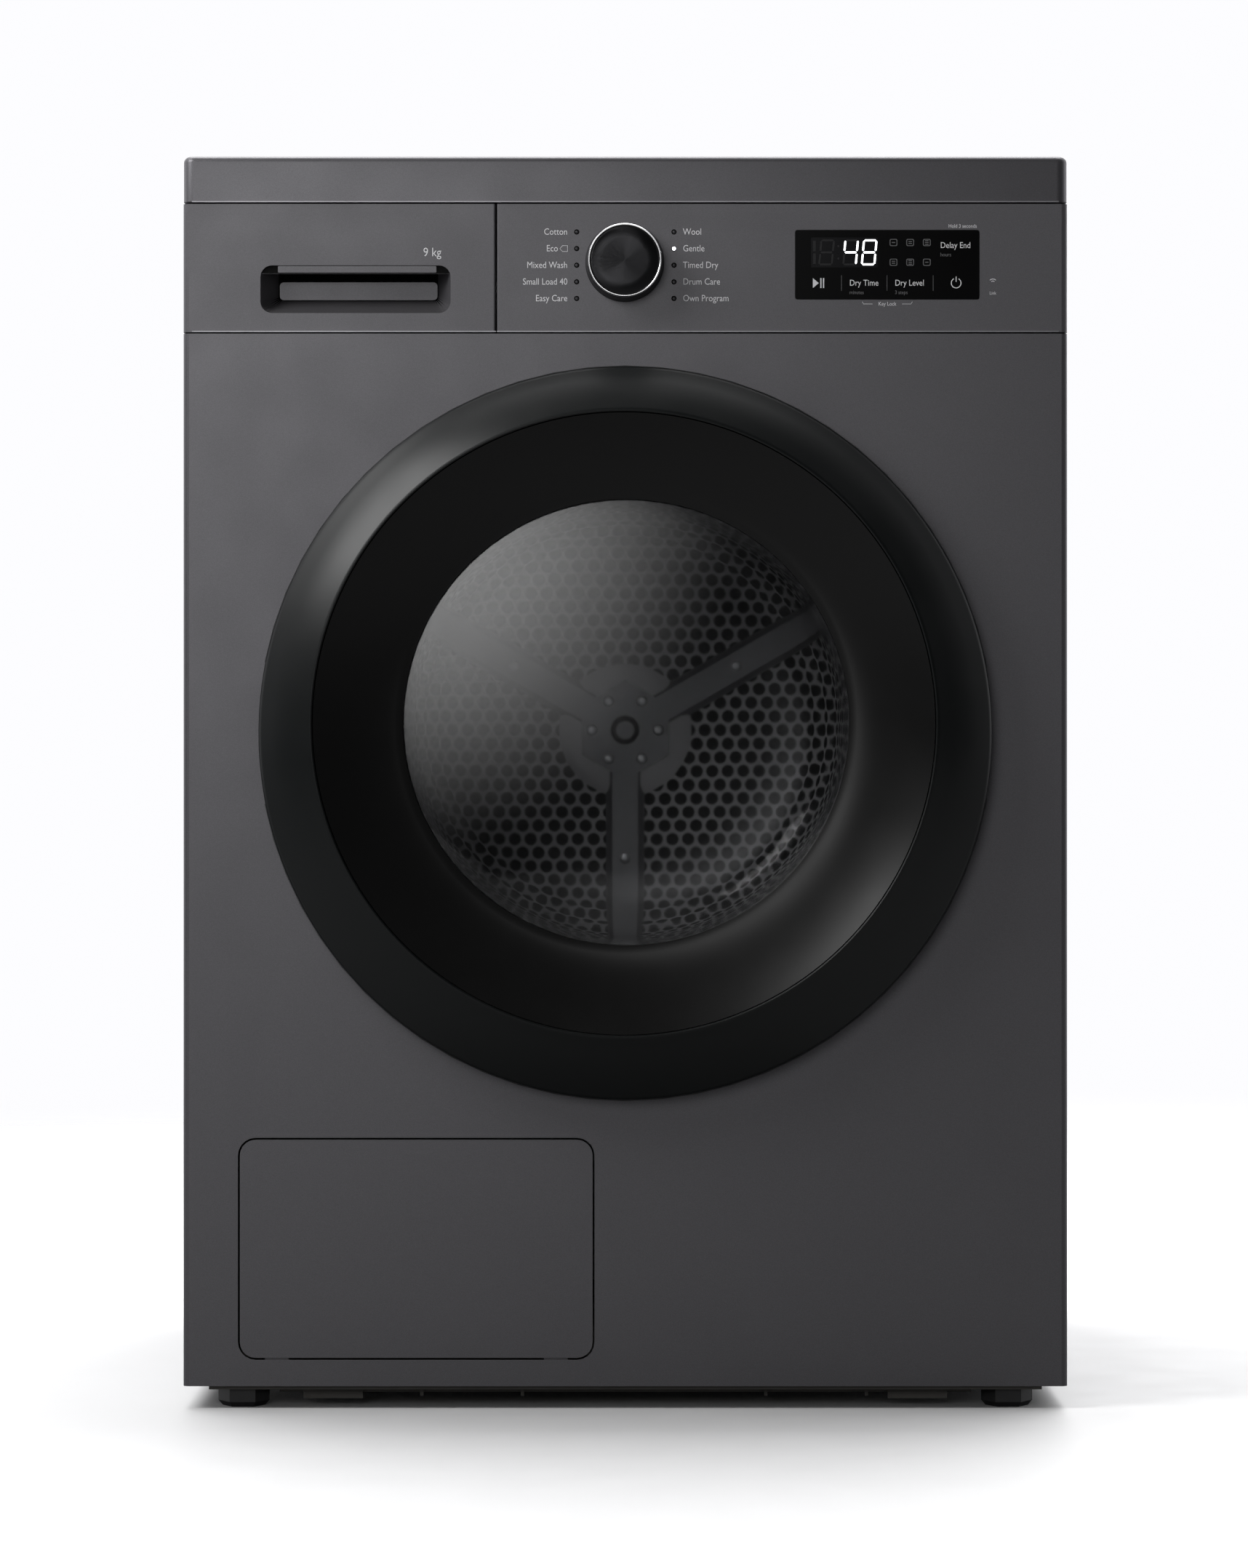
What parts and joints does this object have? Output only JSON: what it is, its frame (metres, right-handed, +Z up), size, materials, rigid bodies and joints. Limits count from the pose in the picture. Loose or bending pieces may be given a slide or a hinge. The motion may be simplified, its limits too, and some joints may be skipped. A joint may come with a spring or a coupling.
{
  "type": "clothes dryer",
  "caption": "Front-loading heat-pump clothes dryer with a round glazed door, a rotating drum, a water-tank drawer, a dial and a hinged service flap in a graphite cabinet.",
  "frame": {"origin": "on the floor, under the middle of the machine's box", "axes": "+Z up, the door faces -Y, +X to the right when the machine is seen from its front"},
  "size_m": [0.6, 0.69, 0.85],
  "materials": {
    "graphite": "graphite metallic paint",
    "worktop_board": "graphite lacquered board",
    "fascia": "graphite metallic coated plastic",
    "gloss_black": "gloss black",
    "dark_plastic": "matte black",
    "base_plastic": "moulded grey-brown",
    "grey_plastic": "moulded light grey",
    "tank_plastic": "translucent natural",
    "lens": "frosted light guide",
    "stainless": "stainless steel",
    "galvanised": "zinc coated",
    "glass": "tinted glass",
    "rubber": "black rubber and felt",
    "copper": "copper",
    "fins": "aluminium fins",
    "mesh": "fine mesh in a grey frame"
  },
  "bodies": {
    "cabinet": {"base_tray": "base_plastic", "front_panel": "graphite", "side_panel_left": "graphite", "side_panel_right": "graphite", "rear_panel": "galvanised", "rear_duct_cover": "galvanised", "worktop": "worktop_board", "control_panel": "fascia", "display_window": "gloss_black", "indicator_lights_left": "lens", "indicator_lights_right": "lens", "front_crossbar": "galvanised", "front_bulkhead": "grey_plastic", "drum_front_seal": "rubber", "rear_bearing": "galvanised", "tank_channel": "grey_plastic", "air_duct": "grey_plastic", "evaporator": "fins", "condenser": "fins", "exchanger_cover": "dark_plastic", "compressor": "dark_plastic", "refrigerant_pipe": "copper", "drive_motor": "galvanised", "fan_motor": "galvanised", "drive_belt": "rubber", "idler_arm": "galvanised", "condensate_pump": "dark_plastic", "latch_catch": "dark_plastic", "hinge_bracket": "galvanised", "cord_gland": "dark_plastic"},
    "door": {"door_frame": "dark_plastic", "door_ring": "gloss_black", "door_bezel": "gloss_black", "door_window": "glass", "door_bowl": "glass", "door_gasket": "rubber", "hinge_arm": "galvanised", "latch_hook": "galvanised"},
    "drum": {"drum_shell": "stainless", "drum_back": "stainless", "lifter_1": "grey_plastic", "lifter_2": "grey_plastic", "lifter_3": "grey_plastic"},
    "motor_pulley": {"motor_pulley": "galvanised"},
    "idler_pulley": {"idler_pulley": "dark_plastic"},
    "fan": {"blower_wheel": "dark_plastic"},
    "roller_left": {"roller_left": "rubber"},
    "roller_right": {"roller_right": "rubber"},
    "tank": {"tank_front": "fascia", "tank_body": "tank_plastic"},
    "knob": {"knob_body": "gloss_black", "knob_ring": "stainless"},
    "flap": {"access_flap": "graphite"},
    "lever_left": {"lock_lever_left": "tank_plastic"},
    "lever_right": {"lock_lever_right": "tank_plastic"},
    "filter": {"lint_filter": "mesh"},
    "foot_front_left": {"foot_front_left": "dark_plastic"},
    "foot_front_right": {"foot_front_right": "dark_plastic"},
    "foot_rear_left": {"foot_rear_left": "dark_plastic"},
    "foot_rear_right": {"foot_rear_right": "dark_plastic"}
  },
  "joints": [
    {"name": "door_hinge", "type": "hinge", "parent": "cabinet", "child": "door", "pos_m": [0.238, -0.314, 0.4584], "axis": [0, 0, 1], "range_deg": [0, 130]},
    {"name": "drum_spin", "type": "hinge", "parent": "cabinet", "child": "drum", "pos_m": [0, 0, 0.466], "axis": [0, 1, 0], "continuous": true},
    {"name": "motor_spin", "type": "hinge", "parent": "cabinet", "child": "motor_pulley", "pos_m": [0.15, 0.01, 0.11], "axis": [0, 1, 0], "continuous": true},
    {"name": "idler_spin", "type": "hinge", "parent": "cabinet", "child": "idler_pulley", "pos_m": [0.0819, 0.01, 0.1172], "axis": [0, 1, 0], "continuous": true},
    {"name": "fan_spin", "type": "hinge", "parent": "cabinet", "child": "fan", "pos_m": [-0.15, 0.121, 0.095], "axis": [0, 1, 0], "continuous": true},
    {"name": "roller_left_spin", "type": "hinge", "parent": "cabinet", "child": "roller_left", "pos_m": [-0.15504, -0.2, 0.24458], "axis": [0, 1, 0], "continuous": true},
    {"name": "roller_right_spin", "type": "hinge", "parent": "cabinet", "child": "roller_right", "pos_m": [0.15504, -0.2, 0.24458], "axis": [0, 1, 0], "continuous": true},
    {"name": "tank_slide", "type": "slide", "parent": "cabinet", "child": "tank", "axis": [0, -1, 0], "range_m": [0, 0.5]},
    {"name": "knob_turn", "type": "hinge", "parent": "cabinet", "child": "knob", "pos_m": [-0.0004, -0.299, 0.7777], "axis": [0, 1, 0], "continuous": true},
    {"name": "flap_hinge", "type": "hinge", "parent": "cabinet", "child": "flap", "pos_m": [-0.14185, -0.2984, 0.0367], "axis": [1, 0, 0], "range_deg": [0, 90]},
    {"name": "lever_left_turn", "type": "hinge", "parent": "cabinet", "child": "lever_left", "pos_m": [-0.248, -0.2581, 0.128], "axis": [0, -1, 0], "range_deg": [0, 90]},
    {"name": "lever_right_turn", "type": "hinge", "parent": "cabinet", "child": "lever_right", "pos_m": [-0.0535, -0.2581, 0.128], "axis": [0, 1, 0], "range_deg": [0, 90]},
    {"name": "filter_slide", "type": "slide", "parent": "cabinet", "child": "filter", "axis": [0, 0, 1], "range_m": [0, 0.125]},
    {"name": "foot_front_left_screw", "type": "slide", "parent": "cabinet", "child": "foot_front_left", "axis": [0, 0, -1], "range_m": [0, 0.012]},
    {"name": "foot_front_right_screw", "type": "slide", "parent": "cabinet", "child": "foot_front_right", "axis": [0, 0, -1], "range_m": [0, 0.012]},
    {"name": "foot_rear_left_screw", "type": "slide", "parent": "cabinet", "child": "foot_rear_left", "axis": [0, 0, -1], "range_m": [0, 0.012]},
    {"name": "foot_rear_right_screw", "type": "slide", "parent": "cabinet", "child": "foot_rear_right", "axis": [0, 0, -1], "range_m": [0, 0.012]}
  ],
  "couplings": [
    {"joint": "motor_spin", "follows": "drum_spin", "ratio": 23.839},
    {"joint": "idler_spin", "follows": "drum_spin", "ratio": -17.258},
    {"joint": "roller_left_spin", "follows": "drum_spin", "ratio": -12.5},
    {"joint": "roller_right_spin", "follows": "drum_spin", "ratio": -12.5}
  ]
}
